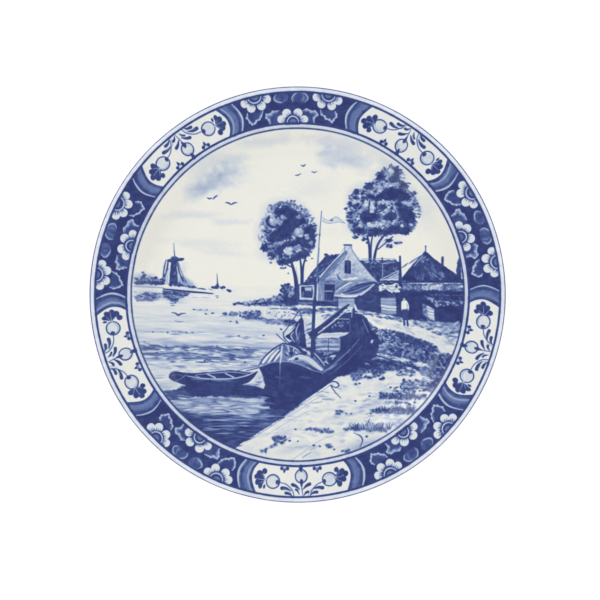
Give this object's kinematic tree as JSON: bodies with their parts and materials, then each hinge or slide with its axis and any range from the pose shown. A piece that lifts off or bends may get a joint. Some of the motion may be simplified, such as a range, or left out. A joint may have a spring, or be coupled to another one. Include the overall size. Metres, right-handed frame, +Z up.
{
  "type": "souvenir plate",
  "caption": "Round wall plate of glazed earthenware with a broad rim, a shallow well and a pierced foot ring; cobalt-blue painted waterside landscape and flower border.",
  "frame": {"origin": "centre of the foot ring's contact plane, where the plate's axis meets the wall it hangs on", "axes": "the plate's axis is Y and its painted face looks along -Y, +Z is up with the plate hung, and +X is to the right seen from the front"},
  "size_m": [0.4, 0.04, 0.4],
  "materials": {
    "clay": "matt, fired buff earthenware, bare on the foot ring's tip",
    "white_glaze": "glossy tin-white glaze",
    "edge_glaze": "glossy blue-white glaze with painted rings",
    "painted_scene": "glossy glaze over a cobalt-blue painted landscape",
    "cartouche_glaze": "glossy white glaze with cobalt-blue fruit and leaves",
    "floral_glaze": "glossy dark blue ground with white flowers"
  },
  "bodies": {
    "root": {"clay_body": "clay", "foot_ring": "clay", "back_glaze": "white_glaze", "rim_edge_glaze": "edge_glaze", "shoulder_glaze": "edge_glaze", "scene_glaze": "painted_scene", "cartouche_glaze_1": "cartouche_glaze", "cartouche_glaze_2": "cartouche_glaze", "cartouche_glaze_3": "cartouche_glaze", "cartouche_glaze_4": "cartouche_glaze", "cartouche_glaze_5": "cartouche_glaze", "floral_glaze_1": "floral_glaze", "floral_glaze_2": "floral_glaze", "floral_glaze_3": "floral_glaze", "floral_glaze_4": "floral_glaze", "floral_glaze_5": "floral_glaze"}
  },
  "joints": []
}
